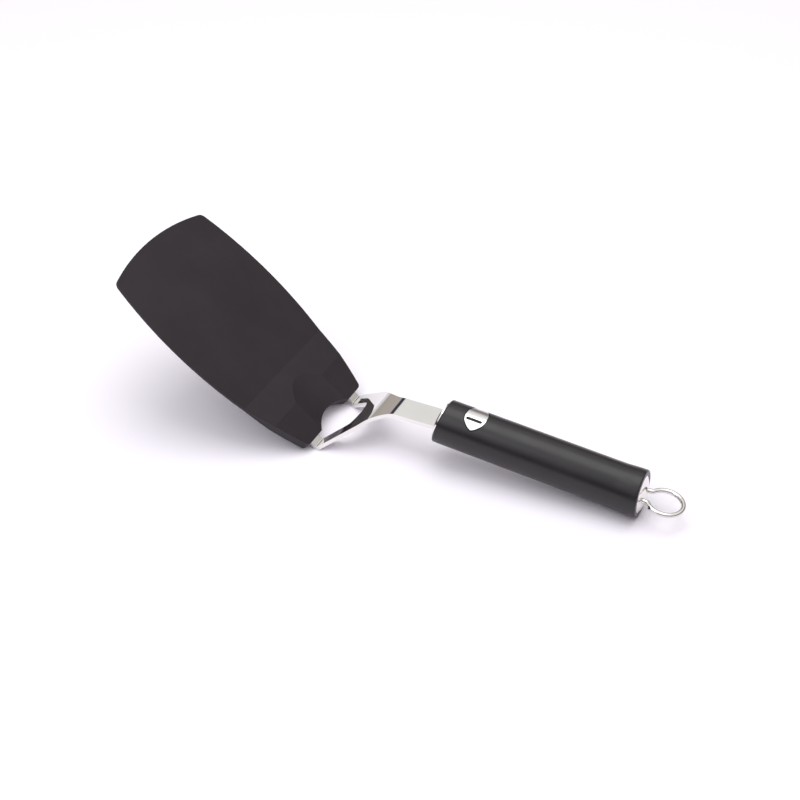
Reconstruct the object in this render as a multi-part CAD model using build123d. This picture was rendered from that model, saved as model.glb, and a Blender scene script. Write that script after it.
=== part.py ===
from build123d import *
import os
from math import atan2, cos, hypot, radians, sin, sqrt, tan

# Grill spatula lying at rest on its heel and on the rear rim of its grip.
# X runs along the tool, blade to -X and hanging loop to +X. Z is up. Y = 0 is the mirror plane.
# Every station "from the grip's mouth" is measured along X, with the mouth at X = 0, and
# the finished tool is then moved so that its box stands on the origin at its bottom centre.

# --- Grip sleeve -----------------------------------------------------------------------
GRIP_R = 14.0            # outer radius of the sleeve
GRIP_LEN = 127.5         # along the axis, from the mouth's datum to the rear face
GRIP_SLOPE = 5.36        # degrees the axis falls towards the rear
GRIP_FLARE_R = 14.6      # outer radius at the rear rim
GRIP_FLARE_LEN = 16.0    # length of the flare before the rear rim
GRIP_FLARE_LAND = 3.0    # straight part of the flare, next to the rear rim
FRONT_FACE = -0.4        # station of the front face on the axis
FRONT_SLANT = 10.5       # degrees the front face leans back at the top
REAR_SLANT = -GRIP_SLOPE  # the rear face stands square to the floor
GRIP_FRONT_EDGE_R = 1.4  # rounding of the mouth's outer edge
GRIP_REAR_EDGE_R = 1.0   # rounding of the rear rim's outer edge
GRIP_BORE_R = 10.5
MOUTH_R = 11.45          # counterbore at both ends, for the collar and the end cap
MOUTH_DEPTH = 5.2

# --- Bent steel fork, shank and tang ---------------------------------------------------
PLATE_T = 2.6
HEEL_X = -72.04          # heel bend, from the grip's mouth
CREST = (-42.32, 23.01)  # bend where the arms meet the neck, in the plate's middle line
NECK = (-29.52, 26.65)   # bend where the neck meets the shank
TANG_BEND_IN = 1.0       # the tang bends to the grip's axis this far inside the mouth
TANG_END = 94.0          # end of the tang, along the grip from its mouth
HEEL_BEND_R = 2.0        # bend radii of the plate's middle line
CREST_BEND_R = 30.0
NECK_BEND_R = 10.0
TANG_BEND_R = 20.0
PRONG_OUTER_Y = 29.0
PRONG_INNER_Y = 20.97
PRONG_CORNER_X = -74.4   # the prongs straighten here, inside the blade
PRONG_LEN = 41.0         # from the heel, most of it inside the blade
PRONG_TIP_R = 3.0
PRONG_TIP_ZONE = 2.0     # edges this close to the tips belong to the tips
ARM_START_X = -69.4      # the arms run straight and taper from here
ARM_END_X = -49.5
ARM_TAPER = 0.455        # narrowing of each side per millimetre of length
FLANK_END_TAPER = 0.12   # the same, where the flank runs into the shank
FLANK_WAIST = [(-44.0, 15.7), (-38.0, 11.9)]
SHANK_HALF_W = 8.9
SHANK_END_X = 8.0        # the tang narrows from here
TANG_TIP_HALF_W = 7.0
WINDOW_END_X = -55.5     # far end of the window between the arms
WINDOW_END_MID = (-56.1, 6.0)
WINDOW_CORNER = (-57.4, 12.2)
WINDOW_CORNER_R = 4.0
KEY_HOLE_R = 2.2         # holes that key the prongs into the moulding
KEY_HOLE_STATIONS = (19.0, 32.0)
KEY_HOLE_CUT = 20.0      # length of the tools that cut them

# --- Moulded turner head, stations measured from the heel bend along the blade ----------
BLADE_SLOPE = 38.0       # degrees the blade climbs away from the heel
HEAD_FRONT = 162.4       # middle of the front edge
HEAD_WIDEST = 101.3
HEAD_HALF_W = 53.3
HEAD_SIDE_R = 256.0
HEAD_FRONT_R = 154.0
HEAD_FRONT_CORNER_R = 5.0
HEAD_REAR = 4.1          # rear faces of the two bosses
HEAD_REAR_CORNER_R = 3.5
NOTCH_END = 10.9         # deepest station of the hollow in the rear edge
NOTCH_R = 27.0
FOLD = 48.1              # line where the thin blade meets the ramp
BOSS = 27.5              # line where the ramp meets the flat bosses
BLADE_T = 2.4            # thickness at the fold
BLADE_TIP_T = 1.3        # thickness at the front edge
BOSS_RISE = 2.2          # bosses stand this much above the blade's top face
ROOT_DROP = 4.2          # underside at the bosses, below the blade's top face
CHANNEL_HALF_W = 16.4
CHANNEL_DEPTH = 1.15
HEAD_EDGE_R = 0.4        # softened edges of the moulding
HEAD_SOFT_FROM = BOSS / 2  # edges with their middle past this station are softened
HEAD_CUT_H = 40.0        # taller than the head is thick
WALL_TILT = 0.1          # a face is a wall when its normal rises less than this

# --- Grip fittings, stations measured along the grip's axis from its mouth ---------------
FIT_GAP = 0.05           # radial gap of a glued or pressed cylindrical fit
CAP_R = 11.4
CAP_T = 1.0
CAP_SKIRT = 4.8
COLLAR_BULGE = 2.0
COLLAR_PROUD = 1.0       # the collar's edge stands this far out of the front face
CAP_BULGE = 2.7
CAP_RECESS = 0.3         # the end cap's edge sits this far inside the rear rim
COLLAR_SLOT = (18.6, 4.0)
SEAL_STATION = 6.8
SEAL_T = 1.5
CORE_START = 8.5
CORE_END = 100.0
CORE_SLOT_GAP = 0.05
CORE_SLOT_SPARE = 1.0    # free length past the tang's end
PIN_R = 2.0
PIN_HALF_LEN = 9.8
PIN_STATIONS = (28.0, 78.0)
PLUG_LEN = 16.0
PLUG_BACK = 6.4          # rear face of the plug, in front of the rear face
ORING_STATION = 7.0      # from the plug's front face
ORING_R = 9.75
ORING_WIRE_R = 0.7

# --- Badge let into the sleeve -----------------------------------------------------------
BADGE_STATION = 21.6
BADGE_TILT = 8.0         # degrees from the top towards the near side
BADGE_PROUD = 0.12
BADGE_T = 0.9
BADGE_TAPE_T = 0.15
BADGE_GAP = 0.5          # dark line left all round in the pocket
BADGE_HALF_W = 6.5
BADGE_TOP = 10.7
BADGE_TIP = -9.1
BADGE_CHEEK = (5.5, -5.2)
BADGE_WAIST = (6.48, -2.6)
BADGE_BROW = (2.95, -7.75)
BADGE_TIP_R = 1.2
BADGE_LINE = (10.2, 1.9)  # length and width of the plain slot through the plate
BADGE_LINE_AT = (-0.3, -3.2)

# --- Hanging loop ------------------------------------------------------------------------
LOOP_WIRE_R = 1.5
LOOP_R = 10.5            # wire centre line
LOOP_CENTRE = 13.6       # behind the rear face, on the grip's axis
LOOP_LEG_Y = 5.2
LOOP_LEG_BEND_R = 2.5
LOOP_HOLE_R = 1.55
CRIMP_SIZE = (16.4, 5.4, 3.2)
WIRE_END_PROUD = 0.3     # the wire ends stand this far out of the crimp

# --- Construction ------------------------------------------------------------------------
REACH = 400.0            # longer than the whole tool, for cutting tools
MARGIN = 5.0             # how far a cutting tool stands clear of the surface it cuts
OVERRUN = 1.0            # how far an outline runs past the end that trims it
TOLERANCE = 0.01         # lengths and places closer than this are the same
SETTLE_ROUNDS = 20       # repeats that settle a corner fixed by two curves


def grip_mouth_height():
    """Height of the axis at the mouth when the rear rim's lowest point is on the floor."""
    slope = radians(GRIP_SLOPE)
    edge = GRIP_REAR_EDGE_R
    touch_x = GRIP_LEN * cos(slope) - edge
    return touch_x * tan(slope) + (GRIP_FLARE_R - edge) / cos(slope) + edge


MOUTH_Z = grip_mouth_height()
GRIP_DIR = (cos(radians(GRIP_SLOPE)), 0, -sin(radians(GRIP_SLOPE)))
GRIP = Location(Plane(origin=(0, 0, MOUTH_Z), x_dir=(0, 1, 0), z_dir=GRIP_DIR))
FRONT_END = Pos(0, 0, FRONT_FACE) * Rot(FRONT_SLANT, 0, 0)
REAR_END = Pos(0, 0, GRIP_LEN) * Rot(REAR_SLANT, 0, 0)


def along_grip(station):
    """Side-view point (x, z) on the grip's axis."""
    return (station * GRIP_DIR[0], MOUTH_Z + station * GRIP_DIR[2])


def plate_line():
    """Corners of the plate's middle line in side view, from prong tip to tang end."""
    bend_in = along_grip(TANG_BEND_IN)
    blade = radians(BLADE_SLOPE)
    heel_z = 0
    for _ in range(SETTLE_ROUNDS):
        arms = atan2(CREST[1] - heel_z, CREST[0] - HEEL_X)
        heel_z = HEEL_BEND_R + PLATE_T / 2 - HEEL_BEND_R / cos((blade + arms) / 2)
    tip = (HEEL_X - PRONG_LEN * cos(blade), heel_z + PRONG_LEN * sin(blade))
    return [tip, (HEEL_X, heel_z), CREST, NECK, bend_in, along_grip(TANG_END)]


PLATE_LINE = plate_line()


def offset_corners(points, distance):
    """Corners of a polyline moved sideways, to the left of its direction."""
    moved = []
    for i, (x, z) in enumerate(points):
        before = points[max(i - 1, 0)]
        after = points[min(i + 1, len(points) - 1)]
        start = atan2(z - before[1], x - before[0]) if i else None
        end = atan2(after[1] - z, after[0] - x) if i < len(points) - 1 else start
        start = end if start is None else start
        reach = distance / cos((end - start) / 2)
        heading = (start + end) / 2
        moved.append((x - reach * sin(heading), z + reach * cos(heading)))
    return moved


def blade_frame():
    """Local frame of the head: x towards the front edge, z out of the blade's top face."""
    slope = radians(BLADE_SLOPE)
    crease = offset_corners(PLATE_LINE, PLATE_T / 2)[1]
    along = (-cos(slope), 0, sin(slope))
    outward = (sin(slope), 0, cos(slope))
    return Location(Plane(origin=(crease[0], 0, crease[1]), x_dir=along, z_dir=outward))


BLADE = blade_frame()


def plate_side():
    """Side view of the bent plate as a closed face in the XZ plane."""
    bends = [HEEL_BEND_R, -CREST_BEND_R, -NECK_BEND_R, -TANG_BEND_R]
    half = PLATE_T / 2
    upper = FilletPolyline(*offset_corners(PLATE_LINE, half), radius=[abs(r - half) for r in bends])
    lower = FilletPolyline(*offset_corners(PLATE_LINE, -half), radius=[abs(r + half) for r in bends])
    ends = [Line(upper @ 0, lower @ 0), Line(upper @ 1, lower @ 1)]
    return Plane.XZ * make_face([*upper.edges(), *lower.edges(), *ends])


def mirrored(points):
    """The same points with the sign of the second coordinate changed."""
    return [(first, -second) for first, second in points]


def closed_face(lines):
    """Face inside a closed chain of lines and arcs."""
    return make_face([edge for line in lines for edge in line.edges()])


def fork_half_plan():
    """Plan view of one half of the fork, on the +Y side."""
    tip_x = PLATE_LINE[0][0] - OVERRUN
    end_x = PLATE_LINE[-1][0] + OVERRUN
    prong = [(PRONG_CORNER_X, PRONG_INNER_Y), (tip_x, PRONG_INNER_Y), (tip_x, PRONG_OUTER_Y)]
    arm_start = (ARM_START_X, PRONG_OUTER_Y)
    arm_end = (ARM_END_X, PRONG_OUTER_Y - ARM_TAPER * (ARM_END_X - ARM_START_X))
    shank_start = (NECK[0], SHANK_HALF_W)
    shank_end = (SHANK_END_X, SHANK_HALF_W)
    tang_tip = (end_x, TANG_TIP_HALF_W)
    window_middle = (WINDOW_END_X, 0)
    face = closed_face([
        Polyline(*prong, arm_start, arm_end),
        Spline(arm_end, *FLANK_WAIST, shank_start, tangents=[(1, -ARM_TAPER), (1, -FLANK_END_TAPER)]),
        Polyline(shank_start, shank_end, tang_tip, (end_x, 0), window_middle),
        ThreePointArc(window_middle, WINDOW_END_MID, WINDOW_CORNER),
        Line(WINDOW_CORNER, prong[0]),
    ])
    corner = face.vertices().sort_by_distance((*WINDOW_CORNER, 0))[0]
    return fillet(corner, WINDOW_CORNER_R)


def prong_key_holes():
    """Cylinders that cut the keying holes through both prongs."""
    middle = (PRONG_OUTER_Y + PRONG_INNER_Y) / 2
    spots = [(s, side * middle) for s in KEY_HOLE_STATIONS for side in (-1, 1)]
    return [BLADE * Pos(s, y, 0) * Cylinder(KEY_HOLE_R, KEY_HOLE_CUT) for s, y in spots]


def tang_pin_tools(radius, half_length):
    """Cylinders across the grip, at right angles to the plate."""
    return [GRIP * Pos(0, 0, s) * Rot(90, 0, 0) * Cylinder(radius, 2 * half_length) for s in PIN_STATIONS]


def fork_shank():
    """One bent plate: two prongs, two arms round a window, neck, shank and tang."""
    side = extrude(plate_side(), amount=PRONG_OUTER_Y + MARGIN, both=True)
    half = fork_half_plan()
    plan = extrude(half + mirror(half, about=Plane.XZ), amount=REACH)
    plate = side & plan
    tips = plate.edges().filter_by(lambda e: e.center().X < PLATE_LINE[0][0] + PRONG_TIP_ZONE)
    tip_corners = [e for e in tips if abs(e.length - PLATE_T) < TOLERANCE]
    plate = fillet(tip_corners, PRONG_TIP_R)
    for tool in prong_key_holes() + tang_pin_tools(PIN_R, PIN_HALF_LEN):
        plate = plate - tool
    return plate


def head_outline():
    """Outline of the head seen square to the blade."""
    side_mid = (HEAD_WIDEST, HEAD_HALF_W)

    def side_y(s):
        return HEAD_HALF_W - HEAD_SIDE_R + sqrt(HEAD_SIDE_R ** 2 - (s - HEAD_WIDEST) ** 2)

    front_s = HEAD_FRONT
    for _ in range(SETTLE_ROUNDS):
        front_s = HEAD_FRONT - HEAD_FRONT_R + sqrt(HEAD_FRONT_R ** 2 - side_y(front_s) ** 2)
    front_corner = (front_s, side_y(front_s))
    rear_corner = (HEAD_REAR, side_y(HEAD_REAR))
    right = mirrored([rear_corner, side_mid, front_corner])
    face = closed_face([
        ThreePointArc(rear_corner, side_mid, front_corner),
        ThreePointArc(front_corner, (HEAD_FRONT, 0), right[2]),
        ThreePointArc(*reversed(right)),
        Line(right[0], rear_corner),
    ])
    face = fillet([v for v in face.vertices() if v.X < HEAD_WIDEST], HEAD_REAR_CORNER_R)
    return fillet([v for v in face.vertices() if v.X > HEAD_WIDEST], HEAD_FRONT_CORNER_R)


def head_side():
    """Side view of the head: thin blade, ramp and bosses."""
    beyond = HEAD_FRONT + MARGIN
    points = [
        (BOSS, -ROOT_DROP), (FOLD, -BLADE_T), (beyond, -BLADE_TIP_T), (beyond, 0), (FOLD, 0),
        (BOSS, BOSS_RISE), (0, BOSS_RISE), (0, -ROOT_DROP),
    ]
    return Plane.XZ * make_face(Polyline(*points, points[0]).edges())


def channel_tool():
    """Long cylinder that hollows the shallow channel between the bosses."""
    radius = (CHANNEL_HALF_W ** 2 + CHANNEL_DEPTH ** 2) / (2 * CHANNEL_DEPTH)
    height = BOSS_RISE - CHANNEL_DEPTH + radius
    return Pos(BOSS, 0, height) * Rot(0, 90, 0) * Cylinder(radius, REACH)


def soft_rim(body):
    """Rounds the long upper and lower edges of the blade, its ramp and its bosses."""
    walls = [f for f in body.faces() if abs(f.normal_at(f.center()).Z) < WALL_TILT]
    wall_edges = [e.center() for f in walls for e in f.edges()]

    def is_rim(edge):
        near = [c for c in wall_edges if (c - edge.center()).length < TOLERANCE]
        return len(near) == 1 and edge.center().X > HEAD_SOFT_FROM

    return body.solid().fillet(HEAD_EDGE_R, [e for e in body.edges() if is_rim(e)])


def turner_head(fork):
    """Moulded head, hollowed where the prongs run through it."""
    body = extrude(head_side(), amount=HEAD_HALF_W + MARGIN, both=True)
    body = body & extrude(Pos(0, 0, -HEAD_CUT_H / 2) * head_outline(), amount=HEAD_CUT_H)
    body = body - Pos(NOTCH_END - NOTCH_R, 0, 0) * Cylinder(NOTCH_R, HEAD_CUT_H)
    body = soft_rim(body) - channel_tool()
    return BLADE * body - fork


def revolved(points):
    """Solid of revolution about the local Z axis from (radius, station) corners."""
    return revolve(Plane.XZ * make_face(Polyline(*points, points[0]).edges()), Axis.Z)


def sleeve_blank():
    """Outer body of the sleeve with its two slanted faces, before the badge pocket is cut."""
    flare = GRIP_LEN - GRIP_FLARE_LEN
    flare_end = GRIP_LEN - GRIP_FLARE_LAND
    front = -MOUTH_DEPTH
    rear = GRIP_LEN + MOUTH_DEPTH
    outer = [
        Line((GRIP_R, front), (GRIP_R, flare)),
        Spline((GRIP_R, flare), (GRIP_FLARE_R, flare_end), tangents=[(0, 1), (0, 1)]),
        Polyline((GRIP_FLARE_R, flare_end), (GRIP_FLARE_R, rear), (0, rear), (0, front), (GRIP_R, front)),
    ]
    body = revolve(Plane.XZ * closed_face(outer), Axis.Z)
    waste = 3 * GRIP_R
    body = body - FRONT_END * Pos(0, 0, -waste / 2) * Box(waste, waste, waste)
    body = body - REAR_END * Pos(0, 0, waste / 2) * Box(waste, waste, waste)
    front_face = body.faces().filter_by(GeomType.PLANE).sort_by(Axis.Z)[0]
    body = fillet(front_face.outer_wire().edges(), GRIP_FRONT_EDGE_R)
    rear_face = body.faces().filter_by(GeomType.PLANE).sort_by(Axis.Z)[-1]
    return fillet(rear_face.outer_wire().edges(), GRIP_REAR_EDGE_R)


def badge_outline(grow=0.0):
    """Rounded shield seen square to the badge: x along the grip, y round it."""
    def grown(x, y):
        scale = 1 + grow / hypot(x, y)
        return (x * scale, y * scale)

    side = grown(BADGE_HALF_W, 0)
    tip = grown(0, BADGE_TIP)
    waist, cheek, brow = [grown(*point) for point in (BADGE_WAIST, BADGE_CHEEK, BADGE_BROW)]
    flat = [(-x, y) for x, y in (side, waist, cheek, brow)]
    face = closed_face([
        EllipticalCenterArc((0, 0), side[0], BADGE_TOP + grow, start_angle=0, arc_size=180),
        ThreePointArc(flat[0], flat[1], flat[2]),
        ThreePointArc(flat[2], flat[3], tip),
        ThreePointArc(tip, brow, cheek),
        ThreePointArc(cheek, waist, side),
    ])
    return fillet(face.vertices().sort_by(Axis.Y)[0], BADGE_TIP_R + grow)


def badge_frame():
    """Frame on the grip's axis under the badge: z out through the badge, x along the grip."""
    tilt = radians(BADGE_TILT)
    outward = (-sin(tilt), cos(tilt), 0)
    return GRIP * Location(Plane(origin=(0, 0, BADGE_STATION), x_dir=(0, 0, 1), z_dir=outward))


def badge_layer(outline, inner_r, outer_r):
    """Curved shell with the given outline, between two radii of the grip."""
    prism = extrude(outline, amount=GRIP_R + MARGIN)
    ring = Cylinder(outer_r, REACH) - Cylinder(inner_r, REACH)
    return badge_frame() * (prism & (Rot(0, 90, 0) * ring))


BADGE_OUT_R = GRIP_R + BADGE_PROUD
BADGE_IN_R = BADGE_OUT_R - BADGE_T
BADGE_SEAT_R = BADGE_IN_R - BADGE_TAPE_T


def grip_sleeve():
    """Sleeve bored right through, with a mouth at each end and a pocket for the badge."""
    body = sleeve_blank() - Pos(0, 0, GRIP_LEN / 2) * Cylinder(GRIP_BORE_R, REACH)
    for end in (FRONT_END, REAR_END):
        body = body - end * Cylinder(MOUTH_R, 2 * MOUTH_DEPTH)
    return GRIP * body - badge_layer(badge_outline(BADGE_GAP), BADGE_SEAT_R, GRIP_R + MARGIN)


def badge_plate():
    """Curved metal badge with one plain slot, through which the dark tape shows."""
    slot = Pos(*BADGE_LINE_AT) * SlotOverall(*BADGE_LINE)
    return badge_layer(badge_outline() - slot, BADGE_IN_R, BADGE_OUT_R)


def badge_tape():
    """Adhesive pad under the badge."""
    return badge_layer(badge_outline(), BADGE_SEAT_R, BADGE_IN_R)


def domed_cap(bulge):
    """Domed cup with a skirt: dome towards +Z, its edge at Z = 0."""
    ball_r = (CAP_R ** 2 + bulge ** 2) / (2 * bulge)
    dome = Pos(0, 0, bulge - ball_r) * Sphere(ball_r)
    bar = Pos(0, 0, (bulge - CAP_SKIRT) / 2) * Cylinder(CAP_R, bulge + CAP_SKIRT)
    inner = Pos(0, 0, bulge - ball_r) * Sphere(ball_r - CAP_T)
    depth = bulge + CAP_SKIRT + 2 * OVERRUN
    inner_bar = Pos(0, 0, (bulge - CAP_SKIRT) / 2 - OVERRUN) * Cylinder(CAP_R - CAP_T, depth)
    return (bar & dome) - (inner_bar & inner)


def leg_holes(radius):
    """Two cylinders along the loop's legs."""
    return [Pos(side * LOOP_LEG_Y, 0, 0) * Cylinder(radius, REACH) for side in (-1, 1)]


def front_collar():
    """Domed steel collar in the mouth, slotted for the shank."""
    cup = FRONT_END * Pos(0, 0, -COLLAR_PROUD) * Rot(180, 0, 0) * domed_cap(COLLAR_BULGE)
    cup = cup - Box(*COLLAR_SLOT, REACH)
    return GRIP * cup


def collar_seal(fork):
    """Soft gasket that fills the bore round the tang, behind the collar."""
    disc = Pos(0, 0, SEAL_STATION + SEAL_T / 2) * Cylinder(GRIP_BORE_R - FIT_GAP, SEAL_T)
    return GRIP * disc - fork


def handle_core():
    """Moulded core that fills the bore and holds the tang in a slot."""
    length = CORE_END - CORE_START
    core = Pos(0, 0, CORE_START + length / 2) * Cylinder(GRIP_BORE_R - FIT_GAP, length)
    slot_w = 2 * (SHANK_HALF_W + CORE_SLOT_GAP)
    slot_t = PLATE_T + 2 * CORE_SLOT_GAP
    slot_end = TANG_END + CORE_SLOT_SPARE
    core = core - Pos(0, 0, slot_end / 2) * Box(slot_w, slot_t, slot_end)
    core = GRIP * core
    for tool in tang_pin_tools(PIN_R, PIN_HALF_LEN):
        core = core - tool
    return core


def tang_pins():
    """Two pressed pins that lock the tang in the core."""
    return Compound(tang_pin_tools(PIN_R, PIN_HALF_LEN))


def end_cap():
    """Domed steel cap in the rear mouth, pierced for the loop's legs."""
    cup = REAR_END * Pos(0, 0, -CAP_RECESS) * domed_cap(CAP_BULGE)
    for tool in leg_holes(LOOP_HOLE_R):
        cup = cup - tool
    return GRIP * cup


def end_plug():
    """Moulded plug behind the end cap, which guides the loop's legs."""
    rear = GRIP_LEN - PLUG_BACK
    front = rear - PLUG_LEN
    wide = GRIP_BORE_R - FIT_GAP
    ring_s = front + ORING_STATION
    groove_r = ORING_R - ORING_WIRE_R
    points = [
        (0, front), (wide, front), (wide, ring_s - ORING_WIRE_R), (groove_r, ring_s - ORING_WIRE_R),
        (groove_r, ring_s + ORING_WIRE_R), (wide, ring_s + ORING_WIRE_R), (wide, rear), (0, rear),
    ]
    plug = revolved(points)
    for tool in leg_holes(LOOP_HOLE_R):
        plug = plug - tool
    return GRIP * plug


def plug_oring():
    """Rubber ring in the plug's groove."""
    station = GRIP_LEN - PLUG_BACK - PLUG_LEN + ORING_STATION
    return GRIP * Pos(0, 0, station) * Torus(ORING_R, ORING_WIRE_R)


def loop_path():
    """Centre line of the wire in the grip's local XZ plane, Z along the axis."""
    rim = GRIP_LEN
    centre = rim + LOOP_CENTRE
    elbow_x = LOOP_LEG_Y + LOOP_LEG_BEND_R
    span = LOOP_R + LOOP_LEG_BEND_R
    elbow_z = centre - sqrt(span ** 2 - elbow_x ** 2)
    share = LOOP_R / span
    join = (elbow_x * share, centre - (centre - elbow_z) * share)
    heading = atan2(join[1] - elbow_z, join[0] - elbow_x)
    middle = (heading + radians(180)) / 2
    mid_elbow = (elbow_x + LOOP_LEG_BEND_R * cos(middle), elbow_z + LOOP_LEG_BEND_R * sin(middle))
    start = (LOOP_LEG_Y, rim - PLUG_BACK - PLUG_LEN - CRIMP_SIZE[2] - WIRE_END_PROUD)
    leg = [start, (LOOP_LEG_Y, elbow_z), mid_elbow, join]
    other = [(-across, along) for across, along in leg]
    return [
        Line(leg[0], leg[1]),
        ThreePointArc(leg[1], leg[2], leg[3]),
        ThreePointArc(leg[3], (0, centre + LOOP_R), other[3]),
        ThreePointArc(other[3], other[2], other[1]),
        Line(other[1], other[0]),
    ]


def hanging_loop():
    """Round wire bent to a ring, with both ends running into the grip."""
    path = Wire([Plane.XZ * edge for line in loop_path() for edge in line.edges()])
    section = Plane(origin=path @ 0, z_dir=path % 0) * Circle(LOOP_WIRE_R)
    return GRIP * sweep(section, path)


def loop_crimp():
    """Steel block squeezed on both wire ends, in front of the plug."""
    front = GRIP_LEN - PLUG_BACK - PLUG_LEN - CRIMP_SIZE[2]
    block = Pos(0, 0, front) * extrude(SlotOverall(CRIMP_SIZE[0], CRIMP_SIZE[1]), amount=CRIMP_SIZE[2])
    for tool in leg_holes(LOOP_WIRE_R):
        block = block - tool
    return GRIP * block


def build():
    """All pieces by node name, standing on the origin."""
    fork = fork_shank()
    pieces = {
        "turner_head": turner_head(fork),
        "fork_shank": fork,
        "grip_sleeve": grip_sleeve(),
        "front_collar": front_collar(),
        "collar_seal": collar_seal(fork),
        "handle_core": handle_core(),
        "tang_pins": tang_pins(),
        "badge_plate": badge_plate(),
        "badge_tape": badge_tape(),
        "end_cap": end_cap(),
        "end_plug": end_plug(),
        "plug_oring": plug_oring(),
        "hanging_loop": hanging_loop(),
        "loop_crimp": loop_crimp(),
    }
    front = pieces["turner_head"].bounding_box().min.X
    rear = pieces["hanging_loop"].bounding_box().max.X
    shift = Pos(-(front + rear) / 2, 0, 0)
    return {name: shift * piece for name, piece in pieces.items()}


if __name__ == "__main__":
    os.makedirs("parts", exist_ok=True)
    for name, piece in build().items():
        export_step(piece, f"parts/{name}.step")
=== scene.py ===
from math import radians

import bpy
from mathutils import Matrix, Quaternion, Vector

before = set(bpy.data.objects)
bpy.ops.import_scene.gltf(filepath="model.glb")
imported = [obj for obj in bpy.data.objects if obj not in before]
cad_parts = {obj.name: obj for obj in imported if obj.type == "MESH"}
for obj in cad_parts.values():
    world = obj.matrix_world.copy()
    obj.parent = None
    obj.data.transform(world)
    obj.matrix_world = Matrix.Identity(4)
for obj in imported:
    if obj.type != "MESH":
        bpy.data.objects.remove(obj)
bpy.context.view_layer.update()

# Camera at the photograph's angle, in metres in the CAD frame.
CAMERA_POS = (0.29141, -0.61152, 0.53765)
CAMERA_AIM = (-0.02367, 0.03956, 0.0)
CAMERA_LENS = 62.59
CAMERA_ROLL = -0.155     # degrees
CAMERA_SENSOR = 36.0     # millimetres
CAMERA_NEAR = 0.01
CAMERA_FAR = 50.0

FLOOR_SIZE = 12.0
FLOOR_COLOUR = (0.965, 0.935, 1.0, 1)
SHARP_ANGLE = 28         # degrees: edges sharper than this are shaded sharp
FACE_WEIGHT = 100        # large faces decide the shading normals

# Scales of the noise in the materials, in cells per metre.
DRIFT_SCALE = 28.0       # slow drift of the plastic's colour
PATCH_SCALE = 90.0       # patches of gloss on the plastic
SMUDGE_SCALE = 45.0      # smudges on the steel
GLOSS_BELOW = 0.04       # how far the glossiest plastic goes below its roughness
GLOSS_ABOVE = 0.05       # how far the dullest patches and smudges go above it
DULLING = 0.95           # colour of smudged steel against clean steel
BUMP_PLASTIC = 0.5
BUMP_STEEL = 0.35


def node_tree(name):
    """A new material, its tree and its Principled shader."""
    mat = bpy.data.materials.new(name)
    mat.use_nodes = True
    tree = mat.node_tree
    return mat, tree, tree.nodes["Principled BSDF"]


def add(tree, kind, **values):
    """A node with some of its properties and input values set."""
    node = tree.nodes.new(kind)
    for key, value in values.items():
        if key in node.inputs:
            node.inputs[key].default_value = value
        else:
            setattr(node, key, value)
    return node


def object_coords(tree, scale=(1, 1, 1)):
    """Object coordinates, in metres, stretched by scale."""
    coord = add(tree, "ShaderNodeTexCoord")
    mapping = add(tree, "ShaderNodeMapping")
    mapping.inputs["Scale"].default_value = scale
    tree.links.new(coord.outputs["Object"], mapping.inputs["Vector"])
    return mapping.outputs["Vector"]


def noise(tree, vector, scale, detail=4.0, roughness=0.55):
    """Fractal noise over vector."""
    node = add(tree, "ShaderNodeTexNoise")
    node.inputs["Scale"].default_value = scale
    node.inputs["Detail"].default_value = detail
    node.inputs["Roughness"].default_value = roughness
    tree.links.new(vector, node.inputs["Vector"])
    return node.outputs["Fac"]


def ramp(tree, factor, low, high, value_a, value_b):
    """Maps factor from low..high onto value_a..value_b."""
    node = add(tree, "ShaderNodeMapRange")
    node.inputs["From Min"].default_value = low
    node.inputs["From Max"].default_value = high
    node.inputs["To Min"].default_value = value_a
    node.inputs["To Max"].default_value = value_b
    tree.links.new(factor, node.inputs["Value"])
    return node.outputs["Result"]


def colour_sockets(sockets):
    """The colour sockets among a node's inputs or outputs, in order."""
    return [socket for socket in sockets if socket.type == "RGBA"]


def mix_colour(tree, factor, colour_a, colour_b):
    """Mixes two plain colours by factor."""
    node = add(tree, "ShaderNodeMix", data_type="RGBA")
    first, second = colour_sockets(node.inputs)
    first.default_value = (*colour_a, 1)
    second.default_value = (*colour_b, 1)
    tree.links.new(factor, node.inputs["Factor"])
    return colour_sockets(node.outputs)[0]


def bump(tree, shader, height, strength, distance):
    """Bumps the shader's surface by height, in metres of distance."""
    node = add(tree, "ShaderNodeBump")
    node.inputs["Strength"].default_value = strength
    node.inputs["Distance"].default_value = distance
    tree.links.new(height, node.inputs["Height"])
    tree.links.new(node.outputs["Normal"], shader.inputs["Normal"])


def moulded(name, dark, light, roughness, grain_scale, grain_depth, specular=0.45):
    """Dark moulded plastic: fine grain, slow colour drift and uneven gloss."""
    mat, tree, shader = node_tree(name)
    vector = object_coords(tree)
    drift = noise(tree, vector, DRIFT_SCALE, 3.0)
    colour = mix_colour(tree, ramp(tree, drift, 0.35, 0.65, 0.0, 1.0), dark, light)
    tree.links.new(colour, shader.inputs["Base Color"])
    patch = noise(tree, vector, PATCH_SCALE, 5.0)
    gloss = ramp(tree, patch, 0.3, 0.7, roughness - GLOSS_BELOW, roughness + GLOSS_ABOVE)
    tree.links.new(gloss, shader.inputs["Roughness"])
    shader.inputs["Specular IOR Level"].default_value = specular
    bump(tree, shader, noise(tree, vector, grain_scale, 3.0, 0.6), BUMP_PLASTIC, grain_depth)
    return mat


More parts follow.
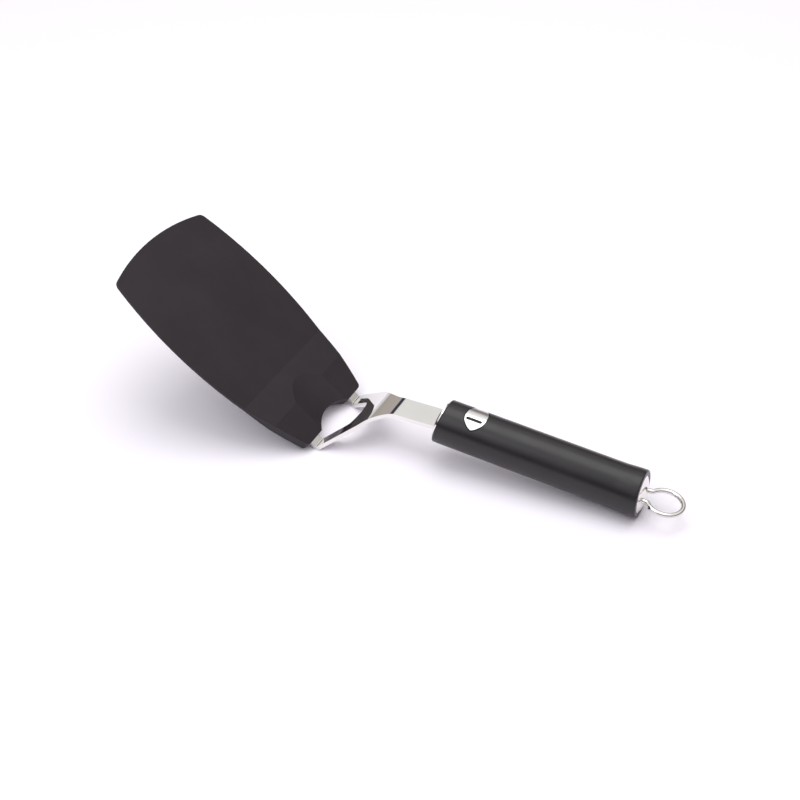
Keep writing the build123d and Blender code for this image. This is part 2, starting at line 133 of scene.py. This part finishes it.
def polished(name, colour, roughness, stretch=(1, 1, 1), depth=0.000004, scale=900.0):
    """Polished steel with fine directional lines and faint smudges."""
    mat, tree, shader = node_tree(name)
    shader.inputs["Metallic"].default_value = 1.0
    vector = object_coords(tree, stretch)
    lines = noise(tree, vector, scale, 3.0, 0.6)
    smudge = noise(tree, object_coords(tree), SMUDGE_SCALE, 4.0)
    dulled = [value * DULLING for value in colour]
    tint = mix_colour(tree, ramp(tree, smudge, 0.35, 0.7, 0.0, 1.0), colour, dulled)
    tree.links.new(tint, shader.inputs["Base Color"])
    gloss = ramp(tree, smudge, 0.3, 0.75, roughness, roughness + GLOSS_ABOVE)
    tree.links.new(gloss, shader.inputs["Roughness"])
    bump(tree, shader, lines, BUMP_STEEL, depth)
    return mat


def assign(node, mat):
    """Gives a CAD node one material."""
    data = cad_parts[node].data
    data.materials.clear()
    data.materials.append(mat)


HEAD = moulded("head_nylon", (0.0130, 0.0082, 0.0120), (0.0178, 0.0125, 0.0165),
               roughness=0.44, grain_scale=2600.0, grain_depth=0.00006, specular=0.36)
GRIP = moulded("grip_plastic", (0.0122, 0.0098, 0.0120), (0.0162, 0.0138, 0.0152),
               roughness=0.32, grain_scale=3200.0, grain_depth=0.00003, specular=0.44)
STEEL = polished("fork_steel", (0.80, 0.785, 0.76), 0.04, stretch=(1, 6, 6))
CAP = polished("cap_steel", (0.82, 0.80, 0.78), 0.09)
WIRE = polished("wire_steel", (0.74, 0.72, 0.69), 0.06, depth=0.00012, scale=260.0)
BADGE = polished("badge_metal", (0.72, 0.71, 0.70), 0.22, stretch=(1, 8, 8), depth=0.000006)
INNER = moulded("inner_plastic", (0.10, 0.10, 0.10), (0.13, 0.13, 0.13), 0.5, 2000.0, 0.00003)
RUBBER = moulded("inner_rubber", (0.03, 0.03, 0.03), (0.045, 0.045, 0.045), 0.7, 1800.0, 0.00004)
PIN = polished("pin_steel", (0.6, 0.6, 0.6), 0.25)

assign("turner_head", HEAD)
assign("grip_sleeve", GRIP)
assign("fork_shank", STEEL)
assign("front_collar", CAP)
assign("end_cap", CAP)
assign("hanging_loop", WIRE)
assign("badge_plate", BADGE)
for name in ("handle_core", "end_plug"):
    assign(name, INNER)
for name in ("collar_seal", "badge_tape", "plug_oring"):
    assign(name, RUBBER)
for name in ("tang_pins", "loop_crimp"):
    assign(name, PIN)

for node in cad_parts.values():
    node.data.shade_smooth()
    node.data.set_sharp_from_angle(angle=radians(SHARP_ANGLE))
    weighted = node.modifiers.new("flat_faces_stay_flat", "WEIGHTED_NORMAL")
    weighted.keep_sharp = True
    weighted.weight = FACE_WEIGHT


def floor():
    """Large pale floor under the lowest point of the tool."""
    bpy.ops.mesh.primitive_plane_add(size=FLOOR_SIZE, location=(0, 0, 0))
    plane = bpy.context.object
    plane.name = "stage_floor"
    mat, _, shader = node_tree("stage_floor_white")
    shader.inputs["Base Color"].default_value = FLOOR_COLOUR
    shader.inputs["Roughness"].default_value = 0.9
    shader.inputs["Specular IOR Level"].default_value = 0.0
    plane.data.materials.append(mat)


# Radiance by height above the horizon, from 0 (level) to 1 (straight up).
SKY_STRENGTH = 1.5       # above the brightest band
BACK_BANDS = [
    (0.00, (0.78, 0.77, 0.83)), (0.09, (0.76, 0.75, 0.80)), (0.13, (0.44, 0.40, 0.37)),
    (0.36, (0.50, 0.46, 0.43)), (0.38, (0.05, 0.055, 0.08)), (0.53, (0.06, 0.06, 0.08)),
    (0.56, (0.90, 0.895, 0.885)), (0.80, (0.95, 0.95, 0.95)), (1.00, (1.30, 1.29, 1.28)),
]
FRONT_BANDS = [
    (0.00, (0.05, 0.042, 0.050)), (0.30, (0.08, 0.070, 0.085)), (0.48, (0.70, 0.68, 0.74)),
    (0.75, (1.00, 0.99, 1.02)), (1.00, (1.30, 1.29, 1.28)),
]
RIGHT_BANDS = [
    (0.00, (0.55, 0.53, 0.56)), (0.12, (0.14, 0.115, 0.10)), (0.42, (0.20, 0.17, 0.15)),
    (0.60, (0.90, 0.895, 0.885)), (1.00, (1.30, 1.29, 1.28)),
]
RIGHT_BLEND = (-0.45, -0.15)  # X over which the back bands give way to the right ones
REAR_BLEND = (-0.15, 0.25)    # Y over which the front bands give way to those behind


def elevation_ramp(tree, factor, stops):
    """Colour ramp from the horizon to straight up, with radiances as its stops."""
    node = add(tree, "ShaderNodeValToRGB")
    elements = node.color_ramp.elements
    while len(elements) < len(stops):
        elements.new(0.5)
    for element, (position, colour) in zip(elements, stops):
        element.position = position
        element.color = (*[value / SKY_STRENGTH for value in colour], 1)
    tree.links.new(factor, node.inputs["Fac"])
    return node.outputs["Color"]


def blend(tree, factor, colour_a, colour_b):
    """Mixes two linked colours by factor."""
    node = add(tree, "ShaderNodeMix", data_type="RGBA")
    first, second = colour_sockets(node.inputs)
    tree.links.new(factor, node.inputs["Factor"])
    tree.links.new(colour_a, first)
    tree.links.new(colour_b, second)
    return colour_sockets(node.outputs)[0]


def world_light():
    """Soft studio surround: bright above, banded behind the tool, darker low in front."""
    world = bpy.data.worlds.new("studio")
    bpy.context.scene.world = world
    world.use_nodes = True
    tree = world.node_tree
    back = tree.nodes["Background"]
    coord = add(tree, "ShaderNodeTexCoord")
    split = add(tree, "ShaderNodeSeparateXYZ")
    tree.links.new(coord.outputs["Generated"], split.inputs["Vector"])
    bands = (BACK_BANDS, FRONT_BANDS, RIGHT_BANDS)
    behind, front, right = [elevation_ramp(tree, split.outputs["Z"], stops) for stops in bands]
    to_right = ramp(tree, split.outputs["X"], *RIGHT_BLEND, 0.0, 1.0)
    rear_half = blend(tree, to_right, behind, right)
    to_rear = ramp(tree, split.outputs["Y"], *REAR_BLEND, 0.0, 1.0)
    around = blend(tree, to_rear, front, rear_half)
    tree.links.new(around, back.inputs["Color"])
    back.inputs["Strength"].default_value = SKY_STRENGTH


def area_light(name, pos, aim, size, power):
    """White rectangular lamp at pos, turned towards aim."""
    data = bpy.data.lights.new(name, "AREA")
    data.shape = "RECTANGLE"
    data.size, data.size_y = size
    data.energy = power
    lamp = bpy.data.objects.new(name, data)
    bpy.context.scene.collection.objects.link(lamp)
    lamp.location = pos
    lamp.rotation_euler = (Vector(aim) - Vector(pos)).to_track_quat("-Z", "Y").to_euler()


def camera():
    """The camera, at the photograph's angle."""
    data = bpy.data.cameras.new("camera")
    data.lens = CAMERA_LENS
    data.sensor_width = CAMERA_SENSOR
    data.clip_start = CAMERA_NEAR
    data.clip_end = CAMERA_FAR
    cam = bpy.data.objects.new("camera", data)
    bpy.context.scene.collection.objects.link(cam)
    cam.location = CAMERA_POS
    aim = (Vector(CAMERA_AIM) - Vector(CAMERA_POS)).to_track_quat("-Z", "Y")
    cam.rotation_mode = "QUATERNION"
    cam.rotation_quaternion = aim @ Quaternion((0, 0, 1), radians(CAMERA_ROLL))
    bpy.context.scene.camera = cam


floor()
world_light()
area_light("top_soft", pos=(0.0, 0.15, 1.5), aim=(0, 0, 0), size=(1.1, 1.1), power=6.5)
area_light("front_soft", pos=(-0.34, -0.55, 0.62), aim=(0, 0, 0.03), size=(0.5, 0.6), power=1.4)
camera()

scene = bpy.context.scene
scene.view_settings.view_transform = "Standard"
scene.view_settings.look = "None"
